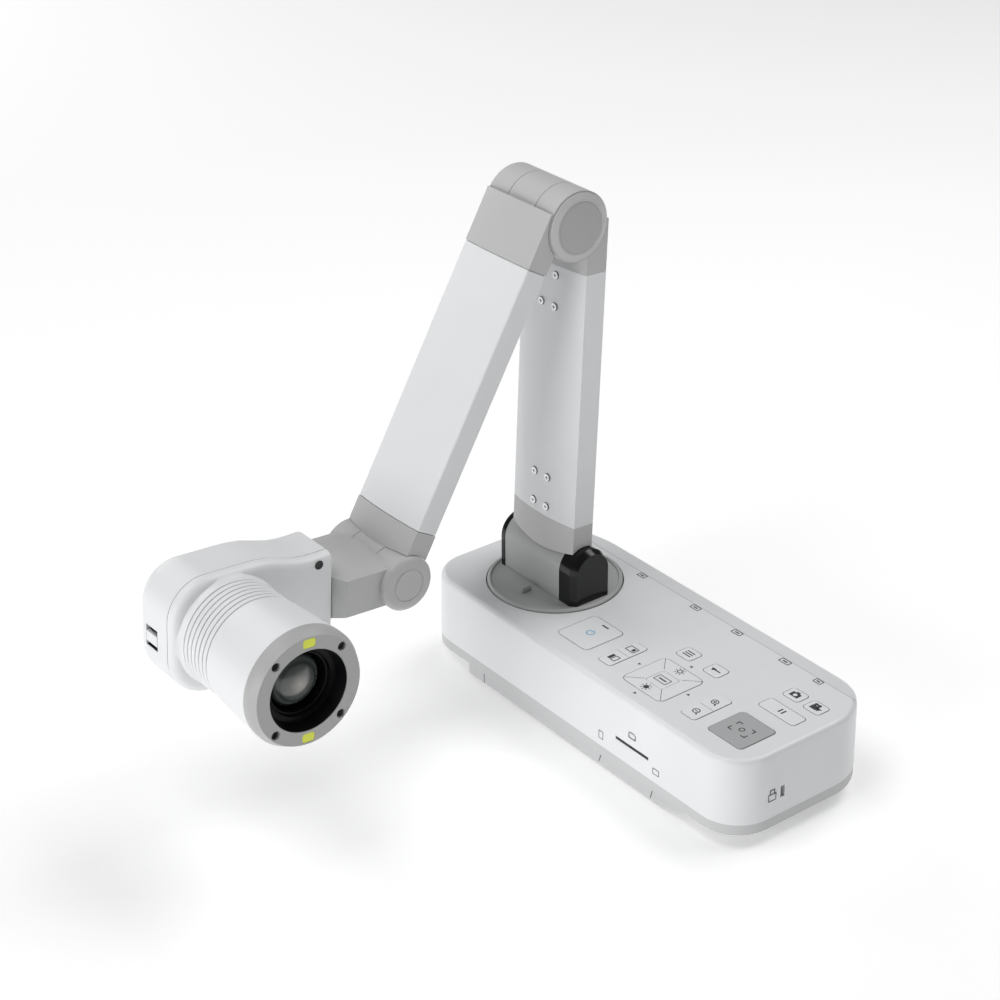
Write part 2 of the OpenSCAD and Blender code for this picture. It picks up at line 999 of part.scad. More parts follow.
// Black lens tube, stepped towards the glass.
module lens_barrel() {
  color([0.05, 0.05, 0.06])
    at_lens()
      rotate_extrude()
        polygon([
          [0, 40], [20, 40], [20, 70], [23, 74], [23, lens_x - 0.8], [22.2, lens_x - 0.8],
          [19.6, lens_x - 7], [17.6, lens_x - 7], [17.2, lens_x - 4.4], [16.6, lens_x - 4.4],
          [15, lens_x - 9], [13, lens_x - 9.6], [12.3, lens_x - 12], [12.3, 70], [0, 70]
        ]);
}

module lens_glass() {
  color([0.45, 0.5, 0.48])
    at_lens()
      intersection() {
        translate([0, 0, lens_x - 14])
          cylinder(r = 12.3, h = 14);
        translate([0, 0, lens_x - 27.6])
          sphere(r = 20, $fn = 120);
      }
}

module sensor_board() {
  color([0.1, 0.38, 0.24])
    at_wrist()
      translate([-9, -lens_y, 0]) {
        translate([0, -18, -20])
          cube([1.6, 36, 40]);
        translate([1.6, -8, -8])
          cube([3, 16, 16]);
        translate([4.6, 0, 0])
          rotate([0, 90, 0])
            cylinder(r = 14, h = 44.4);
        for (y = [-15, 15], z = [-17, 17])
          translate([-8.6, y, z])
            rotate([0, 90, 0])
              cylinder(r = 2, h = 8.6);
      }
}

// Sliding lamp switch on the far end of the head.
module lamp_switch() {
  color([0.9, 0.91, 0.92])
    at_wrist()
      translate([-2, -lens_y - head_h - 0.1, -5]) {
        translate([-5.2, 0, -3])
          cube([10.4, 5, 6]);
        translate([-6.6, 2.9, -5.5])
          cube([13.2, 1.4, 11]);
      }
}

// ---- Keys ----

// One key: a cap that stands a little above the panel, on a wider flange.
module key(x, y, w, d, r, top = 0.35) {
  translate([x, y, 0]) {
    translate([0, 0, 49.4])
      linear_extrude(panel_z + top - 49.4)
        polygon(round_rect(w, d, r));
    translate([0, 0, 49.4])
      linear_extrude(1.4)
        polygon(round_rect(w + 1.6, d + 1.6, r));
  }
}

module power_button() {
  color([0.88, 0.89, 0.9])
    difference() {
      key(-16.1, -25.8, 26, 28.4, 3);
      translate([-15.7, -15.2, panel_z - 1.4])
        cube([5.6, 1, 4], center = true);
    }
}

// Pivot rod under a rocker key.
module key_pivot(x, y, w) {
  rod_x(0.9, x - w / 2 - 2.4, x + w / 2 + 2.4, y, 52);
}

module source_rocker() {
  color([0.88, 0.89, 0.9]) {
    key(12.3, -26, 10.5, 28.2, 2);
    key_pivot(12.3, -26, 10.5);
  }
}

module direction_pad() {
  color([0.88, 0.89, 0.9])
    difference() {
      key(46.1, -26, 32.6, 32.6, 4);
      translate([46.4, -26.5, 45])
        linear_extrude(20)
          polygon(round_rect(14, 14, 2));
      translate([46.4, -26.5, 45])
        linear_extrude(7.2)
          polygon(round_rect(16, 16, 2));
    }
}

module enter_button() {
  color([0.88, 0.89, 0.9])
    key(46.4, -26.5, 13.5, 13.5, 1.8);
}

module menu_button() {
  color([0.88, 0.89, 0.9])
    key(35.3, 2.6, 11.6, 10.3, 2);
}

module esc_button() {
  color([0.88, 0.89, 0.9])
    key(57.5, 2.7, 11.6, 10.3, 2);
}

module zoom_rocker() {
  color([0.88, 0.89, 0.9]) {
    key(81.1, -25.6, 11, 28, 2);
    key_pivot(81.1, -25.6, 11);
  }
}

module focus_button() {
  color([0.62, 0.63, 0.64])
    key(109.2, -26, 26.2, 26.2, 2.5, 0.5);
}

module freeze_button() {
  color([0.88, 0.89, 0.9])
    key(109.5, 2.9, 27.3, 10.3, 2);
}

module capture_button() {
  color([0.88, 0.89, 0.9])
    key(102.2, 20, 11.8, 9.6, 2);
}

module record_button() {
  color([0.88, 0.89, 0.9])
    key(118.1, 19.9, 11.8, 9.6, 2);
}

top_cover();
bottom_case();
ballast_plate();
rubber_feet();
case_screws();
main_board();
key_board();
sd_reader();
lock_plate();
usb_port();
hdmi_port();
vga_ports();
dc_jack();
status_led();
turn_seat();
turntable();
turn_clamp();
hinge_housing();
right_cap();
left_cap();
shoulder_pin();
lower_foot();
lower_shell();
lower_head();
lower_spine();
elbow_cap();
elbow_plug();
elbow_pin();
arm_screws();
fore_head();
fore_shell();
fore_foot();
fore_spine();
wrist_bracket();
wrist_cap();
wrist_plug();
wrist_pin();
swivel_stub();
head_back();
head_front();
head_screw();
lens_ring();
ring_screws();
lamp_windows();
lens_barrel();
lens_glass();
sensor_board();
lamp_switch();
power_button();
source_rocker();
direction_pad();
enter_button();
menu_button();
esc_button();
zoom_rocker();
focus_button();
freeze_button();
capture_button();
record_button();
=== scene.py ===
import bpy
import bmesh
import json
import math
from mathutils import Matrix, Vector


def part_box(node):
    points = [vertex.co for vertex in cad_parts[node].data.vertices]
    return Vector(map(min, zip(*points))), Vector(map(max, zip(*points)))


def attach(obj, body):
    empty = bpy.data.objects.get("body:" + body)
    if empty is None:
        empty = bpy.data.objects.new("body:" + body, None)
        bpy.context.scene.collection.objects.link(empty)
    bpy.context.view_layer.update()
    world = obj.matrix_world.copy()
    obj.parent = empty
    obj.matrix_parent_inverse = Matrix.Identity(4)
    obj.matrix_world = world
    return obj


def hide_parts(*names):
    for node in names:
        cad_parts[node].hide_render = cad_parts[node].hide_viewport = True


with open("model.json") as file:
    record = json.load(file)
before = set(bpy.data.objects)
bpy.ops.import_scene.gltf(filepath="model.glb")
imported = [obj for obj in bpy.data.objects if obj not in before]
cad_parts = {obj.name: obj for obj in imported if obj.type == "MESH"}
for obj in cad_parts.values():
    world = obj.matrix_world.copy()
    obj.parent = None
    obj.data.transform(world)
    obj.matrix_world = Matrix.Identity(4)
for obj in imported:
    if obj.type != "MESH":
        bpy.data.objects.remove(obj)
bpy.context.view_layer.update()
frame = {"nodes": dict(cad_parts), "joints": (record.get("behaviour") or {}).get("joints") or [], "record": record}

# ---------------------------------------------------------------- Table, light and camera
# The camera stands on a wide pale table top. Four soft boxes light it: one low in
# front, one above the front, one high behind, and a weaker one at the left.
bm = bmesh.new()
bmesh.ops.create_grid(bm, x_segments=1, y_segments=1, size=6)
mesh = bpy.data.meshes.new("table_top")
bm.to_mesh(mesh)
bm.free()
table_top = bpy.data.objects.new("table_top", mesh)
bpy.context.scene.collection.objects.link(table_top)
pale = bpy.data.materials.new("pale_table")
pale.use_nodes = True
pale.node_tree.nodes["Principled BSDF"].inputs["Base Color"].default_value = (0.93, 0.93, 0.93, 1)
pale.node_tree.nodes["Principled BSDF"].inputs["Roughness"].default_value = 0.9
pale.node_tree.nodes["Principled BSDF"].inputs["Specular IOR Level"].default_value = 0.1
pale.node_tree.nodes["Principled BSDF"].inputs["Emission Color"].default_value = (1, 1, 1, 1)
# The table top also glows, faintly near the middle and more strongly further out: painted light that keeps the far
# table white.
reach = pale.node_tree.nodes.new("ShaderNodeTexCoord")
apart = pale.node_tree.nodes.new("ShaderNodeVectorMath")
apart.operation = "LENGTH"
glow = pale.node_tree.nodes.new("ShaderNodeMapRange")
for socket, value in (("From Min", 1.0), ("From Max", 5.5), ("To Min", 0.26), ("To Max", 0.7)):
    glow.inputs[socket].default_value = value
pale.node_tree.links.new(reach.outputs["Object"], apart.inputs[0])
pale.node_tree.links.new(apart.outputs["Value"], glow.inputs["Value"])
pale.node_tree.links.new(glow.outputs["Result"],
                         pale.node_tree.nodes["Principled BSDF"].inputs["Emission Strength"])
mesh.materials.append(pale)
bpy.context.scene.view_settings.view_transform = "Standard"

world = bpy.data.worlds.new("studio")
bpy.context.scene.world = world
world.use_nodes = True
world.node_tree.nodes["Background"].inputs["Color"].default_value = (1, 1, 1, 1)
world.node_tree.nodes["Background"].inputs["Strength"].default_value = 0.07


def soft_box(name, place, aim, size, power):
    lamp = bpy.data.lights.new(name, "AREA")
    lamp.shape = "RECTANGLE"
    lamp.size, lamp.size_y = size
    lamp.energy = power
    holder = bpy.data.objects.new(name, lamp)
    holder.location = place
    holder.rotation_euler = (Vector(aim) - Vector(place)).to_track_quat("-Z", "Y").to_euler()
    bpy.context.scene.collection.objects.link(holder)


soft_box("front_box", (0.2, -2.2, 0.5), (0, 0, 0.12), (1.2, 1.0), 20.5)
soft_box("top_box", (-0.2, -0.8, 1.9), (0, 0, 0.12), (1.2, 1.0), 13)
soft_box("back_box", (0.2, 1.0, 1.7), (0, 0, 0.12), (1.4, 1.0), 18)
soft_box("left_box", (-2.0, 0.0, 0.9), (0, 0, 0.12), (1.2, 1.0), 8)

view_turn, view_rise, view_roll = math.radians(52.59), math.radians(28.29), math.radians(-0.52)
back = Vector((math.sin(view_turn) * math.cos(view_rise),
               -math.cos(view_turn) * math.cos(view_rise), math.sin(view_rise)))
right = Vector((math.cos(view_turn), math.sin(view_turn), 0))
up = back.cross(right)
right, up = (right * math.cos(view_roll) + up * math.sin(view_roll),
             up * math.cos(view_roll) - right * math.sin(view_roll))
lens = bpy.data.cameras.new("studio_camera")
lens.lens = 84.85
lens.clip_start = 0.05
lens.clip_end = 30
studio_camera = bpy.data.objects.new("studio_camera", lens)
studio_camera.matrix_world = (Matrix.Translation((0.8561, -0.7565, 0.7534))
                              @ Matrix((right, up, back)).transposed().to_4x4())
bpy.context.scene.collection.objects.link(studio_camera)
bpy.context.scene.camera = studio_camera

# ---------------------------------------------------------------- White top cover of the base
# One deep injection-moulded shell in glossy white plastic with a very fine spark-eroded
# skin, softly rounded where the panel turns down into the walls.


def moulded(name, colour, rough, grain=0.00045, depth=0.05, cloud=0.03, coat=0.0, spec=0.45):
    """Moulded plastic: a fine eroded skin, faint flow clouds and slightly uneven gloss."""
    mat = bpy.data.materials.new(name)
    mat.use_nodes = True
    nodes, links = mat.node_tree.nodes, mat.node_tree.links
    shader = nodes["Principled BSDF"]
    shader.inputs["Specular IOR Level"].default_value = spec
    shader.inputs["Coat Weight"].default_value = coat
    shader.inputs["Coat Roughness"].default_value = 0.04
    place = nodes.new("ShaderNodeTexCoord")
    flow = nodes.new("ShaderNodeTexNoise")
    flow.inputs["Scale"].default_value = 22
    flow.inputs["Detail"].default_value = 4
    links.new(place.outputs["Object"], flow.inputs["Vector"])
    tint = nodes.new("ShaderNodeMixRGB")
    tint.inputs["Color1"].default_value = (*[c * (1 - cloud) for c in colour], 1)
    tint.inputs["Color2"].default_value = (*[min(1, c * (1 + cloud)) for c in colour], 1)
    links.new(flow.outputs["Fac"], tint.inputs["Fac"])
    links.new(tint.outputs["Color"], shader.inputs["Base Color"])
    skin = nodes.new("ShaderNodeTexNoise")
    skin.inputs["Scale"].default_value = 1 / grain
    skin.inputs["Detail"].default_value = 3
    links.new(place.outputs["Object"], skin.inputs["Vector"])
    gloss = nodes.new("ShaderNodeMapRange")
    gloss.inputs["From Min"].default_value = 0.3
    gloss.inputs["From Max"].default_value = 0.7
    gloss.inputs["To Min"].default_value = rough * 0.88
    gloss.inputs["To Max"].default_value = min(1, rough * 1.12)
    links.new(skin.outputs["Fac"], gloss.inputs["Value"])
    links.new(gloss.outputs["Result"], shader.inputs["Roughness"])
    bump = nodes.new("ShaderNodeBump")
    bump.inputs["Strength"].default_value = depth
    bump.inputs["Distance"].default_value = 0.0002
    links.new(skin.outputs["Fac"], bump.inputs["Height"])
    links.new(bump.outputs["Normal"], shader.inputs["Normal"])
    return mat


def built(bm, name, body, material, ease=0.0, steps=3, angle=35, nodes=()):
    """Turns a bmesh into a piece that rides on a body and stands for the CAD nodes named."""
    mesh = bpy.data.meshes.new(name)
    bm.to_mesh(mesh)
    bm.free()
    mesh.shade_smooth()
    mesh.materials.append(material)
    obj = bpy.data.objects.new(name, mesh)
    bpy.context.scene.collection.objects.link(obj)
    if ease:
        edge = obj.modifiers.new("eased_edges", "BEVEL")
        edge.width = ease
        edge.segments = steps
        edge.limit_method = "ANGLE"
        edge.angle_limit = math.radians(angle)
        edge.use_clamp_overlap = True
        edge.miter_outer = "MITER_ARC"
        even = obj.modifiers.new("even_faces", "WEIGHTED_NORMAL")
        even.weight = 90
    else:
        mesh.set_sharp_from_angle(angle=math.radians(angle))
    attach(obj, body)
    if nodes:
        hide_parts(*nodes)
    return obj


def eased(node, name, material, ease, steps=3, angle=35):
    """The moulding as designed, with every sharp edge rounded as the tool leaves it."""
    body = next(b for b, held in frame["record"]["behaviour"]["bodies"].items() if node in held)
    bm = bmesh.new()
    bm.from_mesh(frame["nodes"][node].data)
    bmesh.ops.remove_doubles(bm, verts=bm.verts, dist=2e-6)
    bmesh.ops.dissolve_limit(bm, angle_limit=math.radians(0.2), verts=bm.verts, edges=bm.edges)
    return built(bm, name, body, material, ease, steps, angle, (node,))


white_cover = moulded("white_cover", (0.80, 0.81, 0.82), 0.34)
eased("top_cover", "cover_moulding", white_cover, 0.0004, 2, 40)

# ---------------------------------------------------------------- Grey bottom case
# The tray the base stands on, in light grey plastic, with the page marks cut into its
# front apron. It is screwed to the cover from below and carries the rubber pads.
grey_case = moulded("grey_case", (0.58, 0.585, 0.59), 0.42, depth=0.08)
eased("bottom_case", "case_moulding", grey_case, 0.0005, 2, 30)


def bar(bm, centre, size, turn=0.0, axis="Z"):
    """A slim block laid on a face, for a printed or engraved line."""
    where = (Matrix.Translation(centre) @ Matrix.Rotation(turn, 4, axis)
             @ Matrix.Diagonal((*size, 1)))
    bmesh.ops.create_cube(bm, size=1, matrix=where)


# Dark grey for the printed marks; the same grey also lies round the keys as painted shade for the gaps.
print_and_gap_shade = moulded("grey_print_and_gap_shade", (0.045, 0.045, 0.05), 0.6, depth=0.0)
front_y = -0.05385
bm = bmesh.new()
bar(bm, (-0.0794, front_y, 0.006), (0.0005, 0.0001, 0.0085))
bar(bm, (0.0273, front_y, 0.0075), (0.0005, 0.0001, 0.0095), math.radians(20), "Y")
bar(bm, (0.0708, front_y, 0.0072), (0.0005, 0.0001, 0.0095), math.radians(17), "Y")
built(bm, "page_lines", "base", print_and_gap_shade)
feet_rubber = moulded("feet_rubber", (0.03, 0.03, 0.032), 0.85, 0.0008, 0.3, spec=0.2)
eased("rubber_feet", "foot_pads", feet_rubber, 0.0004)


def metal(name, colour, rough, brushed=(900, 900, 60)):
    """Plated or turned steel with fine brush lines along one direction."""
    mat = bpy.data.materials.new(name)
    mat.use_nodes = True
    nodes, links = mat.node_tree.nodes, mat.node_tree.links
    shader = nodes["Principled BSDF"]
    shader.inputs["Metallic"].default_value = 1.0
    shader.inputs["Base Color"].default_value = (*colour, 1)
    place = nodes.new("ShaderNodeTexCoord")
    stretch = nodes.new("ShaderNodeMapping")
    stretch.inputs["Scale"].default_value = brushed
    lines = nodes.new("ShaderNodeTexNoise")
    lines.inputs["Scale"].default_value = 4
    links.new(place.outputs["Object"], stretch.inputs["Vector"])
    links.new(stretch.outputs["Vector"], lines.inputs["Vector"])
    spread = nodes.new("ShaderNodeMapRange")
    spread.inputs["To Min"].default_value = rough * 0.75
    spread.inputs["To Max"].default_value = rough * 1.25
    links.new(lines.outputs["Fac"], spread.inputs["Value"])
    links.new(spread.outputs["Result"], shader.inputs["Roughness"])
    return mat


screw_steel = metal("screw_steel", (0.42, 0.42, 0.43), 0.3)
plated_steel = metal("plated_steel", (0.62, 0.62, 0.63), 0.28)
# Black matte plastic for the black parts; the same black also stands as painted shade in screw recesses and under
# screw heads.
black_matte = moulded("black_matte", (0.012, 0.012, 0.013), 0.5, depth=0.04)
frame["nodes"]["case_screws"].data.materials[0] = screw_steel

# ---------------------------------------------------------------- Sockets, slots and boards
# Plated sockets in the back wall, the card slot in the front wall and the lock slot in
# the end wall, each soldered or clipped to the boards inside.
# Near-black painted shade for the insides of slots: the lock plate behind the lock slot, a strip over the card
# slot, and sheets round the lamp slider.
slot_shade_black = moulded("slot_shade_black", (0.015, 0.015, 0.016), 0.6, depth=0.0)
blue_socket = moulded("blue_socket", (0.03, 0.09, 0.38), 0.4)


def circuit_board(name):
    """Green lacquered board with the copper tracks showing as darker squares."""
    mat = moulded(name, (0.01, 0.12, 0.05), 0.3, coat=0.4)
    nodes, links = mat.node_tree.nodes, mat.node_tree.links
    place = nodes.new("ShaderNodeTexCoord")
    cells = nodes.new("ShaderNodeTexVoronoi")
    cells.distance = "CHEBYCHEV"
    cells.inputs["Scale"].default_value = 260
    ramp = nodes.new("ShaderNodeValToRGB")
    ramp.color_ramp.elements[0].position = 0.25
    ramp.color_ramp.elements[0].color = (0.02, 0.2, 0.09, 1)
    ramp.color_ramp.elements[1].position = 0.32
    ramp.color_ramp.elements[1].color = (0.008, 0.1, 0.045, 1)
    links.new(place.outputs["Object"], cells.inputs["Vector"])
    links.new(cells.outputs["Distance"], ramp.inputs["Fac"])
    links.new(ramp.outputs["Color"], nodes["Principled BSDF"].inputs["Base Color"])
    return mat


green_board = circuit_board("green_board")
# The lock plate takes the near-black slot shade, so the lock slot reads dark as painted shade.
for node, mat in {"main_board": green_board, "key_board": green_board,
                  "sensor_board": green_board, "sd_reader": plated_steel,
                  "lock_plate": slot_shade_black, "usb_port": plated_steel,
                  "hdmi_port": plated_steel, "vga_ports": blue_socket,
                  "dc_jack": black_matte, "turn_seat": black_matte,
                  "ballast_plate": plated_steel, "turn_clamp": plated_steel,
                  "shoulder_pin": plated_steel, "elbow_pin": plated_steel,
                  "wrist_pin": plated_steel, "lower_spine": plated_steel,
                  "fore_spine": plated_steel, "swivel_stub": black_matte}.items():
    frame["nodes"][node].data.materials[0] = mat
# A dark strip on the front wall is painted shade standing for the opening of the card slot.
bm = bmesh.new()
bar(bm, (0.0545, -0.0545, 0.0275), (0.0268, 0.0004, 0.0012))
built(bm, "card_slot_shade", "base", slot_shade_black)

# ---------------------------------------------------------------- Control keys
# Loose white key caps in the panel, each with a rounded rim and a printed mark. The big
# focus key is grey. Marks ride on their key; a band of painted shade on the panel stands for the gap round each
# cap.
white_keys = moulded("white_keys", (0.82, 0.83, 0.84), 0.36)
grey_key = moulded("grey_key", (0.43, 0.435, 0.44), 0.5, depth=0.08)
for node in ("power_button", "source_rocker", "direction_pad", "enter_button", "menu_button",
             "esc_button", "zoom_rocker", "freeze_button", "capture_button", "record_button"):
    eased(node, node + "_cap", white_keys, 0.0005, 3, 40)
eased("focus_button", "focus_cap", grey_key, 0.0006, 3, 40)
eased("status_led", "led_window", black_matte, 0.0001)


def ring(bm, centre, outer, inner, z_turn=0.0, open_part=0.0, steps=40):
    """A flat printed ring, with a gap if open_part is more than nothing."""
    a = bm.verts.new((0, inner, 0))
    b = bm.verts.new((0, outer, 0))
    edge = bm.edges.new((a, b))
    bmesh.ops.spin(bm, geom=[a, b, edge], cent=(0, 0, 0), axis=(0, 0, 1),
                   angle=math.tau - open_part, steps=steps, use_merge=(open_part == 0))
    bmesh.ops.transform(bm, verts=[v for v in bm.verts if not v.tag],
                        matrix=Matrix.Translation(centre) @ Matrix.Rotation(z_turn, 4, "Z"))
    for v in bm.verts:
        v.tag = True


def dot(bm, centre, radius, sides=24, turn=0.0):
    """A flat printed disc, or a triangle with three sides."""
    bmesh.ops.create_circle(bm, cap_ends=True, segments=sides, radius=radius,
                            matrix=Matrix.Translation(centre) @ Matrix.Rotation(turn, 4, "Z"))
    for v in bm.verts:
        v.tag = True


def flat(bm, centre, w, d, turn=0.0):
    """A flat printed bar."""
    bmesh.ops.create_grid(bm, x_segments=1, y_segments=1, size=0.5,
                          matrix=Matrix.Translation(centre) @ Matrix.Rotation(turn, 4, "Z")
                          @ Matrix.Diagonal((w, d, 1, 1)))
    for v in bm.verts:
        v.tag = True


def frame_mark(bm, centre, w, d, line=0.0004):
    """A printed outline of a sheet or a screen."""
    x, y, z = centre
    flat(bm, (x, y + d / 2, z), w, line)
    flat(bm, (x, y - d / 2, z), w, line)
    flat(bm, (x - w / 2, y, z), line, d)
    flat(bm, (x + w / 2, y, z), line, d)


def printed(bm, name, body, material):
    bmesh.ops.recalc_face_normals(bm, faces=bm.faces)
    for f in bm.faces:
        if f.normal.z < 0:
            f.normal_flip()
    return built(bm, name, body, material)


def outline(bm, centre, w, d, r, line):
    """A narrow band round a key with rounded corners."""
    x, y, z = centre
    loops = []
    for grow in (0.0001, 0.0001 + line):
        points = []
        for n, (sx, sy) in enumerate(((1, 1), (-1, 1), (-1, -1), (1, -1))):
            for k in range(7):
                a = math.radians(90 * n + 15 * k)
                points.append(bm.verts.new((x + sx * (w / 2 - r) + (r + grow) * math.cos(a),
                                            y + sy * (d / 2 - r) + (r + grow) * math.sin(a),
                                            z)))
        loops.append(points)
    for k in range(28):
        bm.faces.new((loops[0][k - 1], loops[0][k], loops[1][k], loops[1][k - 1]))


# Each band lies on the panel round a key as painted shade for the gap between cap and panel.
bm = bmesh.new()
gap_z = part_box("top_cover")[1].z + 0.00002
for x, y, w, d, r in ((-0.0161, -0.0258, 0.026, 0.0284, 0.003),
                      (0.0123, -0.026, 0.0105, 0.0282, 0.002),
                      (0.0461, -0.026, 0.0326, 0.0326, 0.004),
                      (0.0353, 0.0026, 0.0116, 0.0103, 0.002),
                      (0.0575, 0.0027, 0.0116, 0.0103, 0.002),
                      (0.0811, -0.0256, 0.011, 0.028, 0.002),
                      (0.1092, -0.026, 0.0262, 0.0262, 0.0025),
                      (0.1095, 0.0029, 0.0273, 0.0103, 0.002),
                      (0.1022, 0.020, 0.0118, 0.0096, 0.002),
                      (0.1181, 0.0199, 0.0118, 0.0096, 0.002)):
    outline(bm, (x, y, gap_z), w, d, r, 0.00026)
printed(bm, "key_gap_shadows", "base", print_and_gap_shade)

cyan_ink = moulded("cyan_ink", (0.03, 0.42, 0.66), 0.5, depth=0.0)
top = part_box("power_button")[1].z + 0.00004
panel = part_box("top_cover")[1].z + 0.00004
bm = bmesh.new()
ring(bm, (-0.016, -0.0259, top), 0.0026, 0.0020, math.radians(30), math.radians(60))
flat(bm, (-0.016, -0.0239, top), 0.0006, 0.0028)
printed(bm, "power_mark", "power_key", cyan_ink)
bm = bmesh.new()
frame_mark(bm, (0.0123, -0.0192, top), 0.0064, 0.0046, 0.0006)
flat(bm, (0.0136, -0.0192, top), 0.0020, 0.0026)
flat(bm, (0.0105, -0.0328, top), 0.0022, 0.0050)
frame_mark(bm, (0.0138, -0.0328, top), 0.0030, 0.0048, 0.0006)
flat(bm, (0.0123, -0.0260, top), 0.0095, 0.0002)
printed(bm, "source_mark", "source_key", print_and_gap_shade)
bm = bmesh.new()
for turn in (45, 135, 225, 315):
    reach = Vector((math.cos(math.radians(turn)), math.sin(math.radians(turn)), 0))
    flat(bm, Vector((0.0461, -0.026, top)) + reach * 0.0158, 0.0113, 0.0003,
         math.radians(turn))
ring(bm, (0.0461, -0.0136, top), 0.0017, 0.0011)
dot(bm, (0.0461, -0.0381, top), 0.0017)
for n in range(8):
    a = math.radians(45 * n)
    for y in (-0.0136, -0.0381):
        flat(bm, (0.0461 + 0.0027 * math.cos(a), y + 0.0027 * math.sin(a), top),
             0.0012, 0.0005, a)
printed(bm, "direction_mark", "direction_key", print_and_gap_shade)
bm = bmesh.new()
frame_mark(bm, (0.0464, -0.0265, top), 0.0092, 0.0052, 0.0005)
flat(bm, (0.0464, -0.0265, top), 0.0058, 0.0010)
printed(bm, "enter_mark", "enter_key", print_and_gap_shade)
bm = bmesh.new()
for y in (0.0007, 0.0026, 0.0045):
    flat(bm, (0.0353, y, top), 0.0062, 0.0008)
printed(bm, "menu_mark", "menu_key", print_and_gap_shade)
bm = bmesh.new()
flat(bm, (0.0583, 0.0027, top), 0.0050, 0.0009)
dot(bm, (0.0555, 0.0027, top), 0.0019, 3, math.radians(60))
printed(bm, "esc_mark", "esc_key", print_and_gap_shade)
bm = bmesh.new()
for y in (-0.0190, -0.0325):
    ring(bm, (0.0806, y, top), 0.0023, 0.0017)
    flat(bm, (0.0806, y, top), 0.0024, 0.0006)
    flat(bm, (0.0826, y - 0.0020, top), 0.0020, 0.0008, math.radians(-45))
flat(bm, (0.0806, -0.0190, top), 0.0006, 0.0024)
flat(bm, (0.0811, -0.0256, top), 0.0099, 0.0002)
printed(bm, "zoom_mark", "zoom_key", print_and_gap_shade)
bm = bmesh.new()
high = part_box("focus_button")[1].z + 0.00004
for sx in (-1, 1):
    for sy in (-1, 1):
        flat(bm, (0.1092 + sx * 0.0049, -0.026 + sy * 0.0042, high), 0.0030, 0.0007)
        flat(bm, (0.1092 + sx * 0.0061, -0.026 + sy * 0.0030, high), 0.0007, 0.0030)
ring(bm, (0.1092, -0.026, high), 0.0018, 0.0012)
printed(bm, "focus_mark", "focus_key", print_and_gap_shade)
bm = bmesh.new()
flat(bm, (0.1083, 0.0029, top), 0.0010, 0.0040)
flat(bm, (0.1107, 0.0029, top), 0.0010, 0.0040)
printed(bm, "freeze_mark", "freeze_key", print_and_gap_shade)
bm = bmesh.new()
flat(bm, (0.1022, 0.0197, top), 0.0062, 0.0042)
flat(bm, (0.1022, 0.0223, top), 0.0026, 0.0012)
printed(bm, "capture_mark", "capture_key", print_and_gap_shade)
bm = bmesh.new()
flat(bm, (0.1173, 0.0192, top), 0.0048, 0.0036)
for x in (0.1161, 0.1185):
    dot(bm, (x, 0.0221, top), 0.0012)
dot(bm, (0.1204, 0.0192, top), 0.0020, 3, math.radians(60))
printed(bm, "record_mark", "record_key", print_and_gap_shade)
bm = bmesh.new()
dot(bm, (0.1022, 0.0196, top + 0.00003), 0.0013)
printed(bm, "capture_mark_lens", "capture_key", white_keys)

# ---------------------------------------------------------------- Printing on the cover
# Small grey marks beside the keys, over the sockets along the back strip, and on the
# front and end walls. They are printed on the cover, and have no words.
bm = bmesh.new()
for x, y, turn in ((0.0258, -0.0255, 180), (0.0659, -0.0252, 0), (0.0465, -0.0466, 270),
                   (0.0461, -0.0051, 90)):
    dot(bm, (x, y, panel), 0.0013, 3, math.radians(turn))
for x, w in ((-0.047, 0.0056), (0.0, 0.0064), (0.035, 0.0066), (0.074, 0.0070), (0.1, 0.0052)):
    frame_mark(bm, (x, 0.0392, panel), w, 0.0034, 0.0006)
    flat(bm, (x, 0.0392, panel), w * 0.5, 0.0010)
printed(bm, "panel_marks", "base", print_and_gap_shade)
# A thin grey line of painted shade marks the crease where the flat panel turns down into the back strip.
bm = bmesh.new()
flat(bm, (0.0, 0.0416, panel - 0.00002), 0.252, 0.0003)
printed(bm, "strip_line", "base", moulded("shadow_line", (0.35, 0.355, 0.36), 0.6, depth=0.0))
wall_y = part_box("top_cover")[0].y - 0.00003 + 0.0001
bm = bmesh.new()
for x, w, h in ((0.0285, 0.0034, 0.0048), (0.0745, 0.0048, 0.0034)):
    z = 0.0225
    for dx in (-w / 2, w / 2):
        bar(bm, (x + dx, wall_y, z), (0.0004, 0.0001, h))
    for dz in (-h / 2, h / 2):
        bar(bm, (x, wall_y, z + dz), (w, 0.0001, 0.0004))
bar(bm, (0.0545, wall_y, 0.0335), (0.0052, 0.0001, 0.0004))
bar(bm, (0.0545, wall_y, 0.0370), (0.0040, 0.0001, 0.0004))
for dx in (-0.0026, 0.0026):
    bar(bm, (0.0545 + dx, wall_y, 0.0350), (0.0004, 0.0001, 0.0034))
end_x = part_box("top_cover")[1].x - 0.00007
for dy, w, h, dz in ((0, 0.0052, 0.0004, -0.0022), (0, 0.0052, 0.0004, 0.0018),
                     (-0.0026, 0.0004, 0.0044, 0), (0.0026, 0.0004, 0.0044, 0),
                     (-0.0015, 0.0004, 0.0030, 0.0030), (0.0015, 0.0004, 0.0030, 0.0030),
                     (0, 0.0034, 0.0004, 0.0046)):
    bar(bm, (end_x, -0.0275 + dy, 0.0285 + dz), (0.0001, w, h))
built(bm, "wall_marks", "base", print_and_gap_shade)

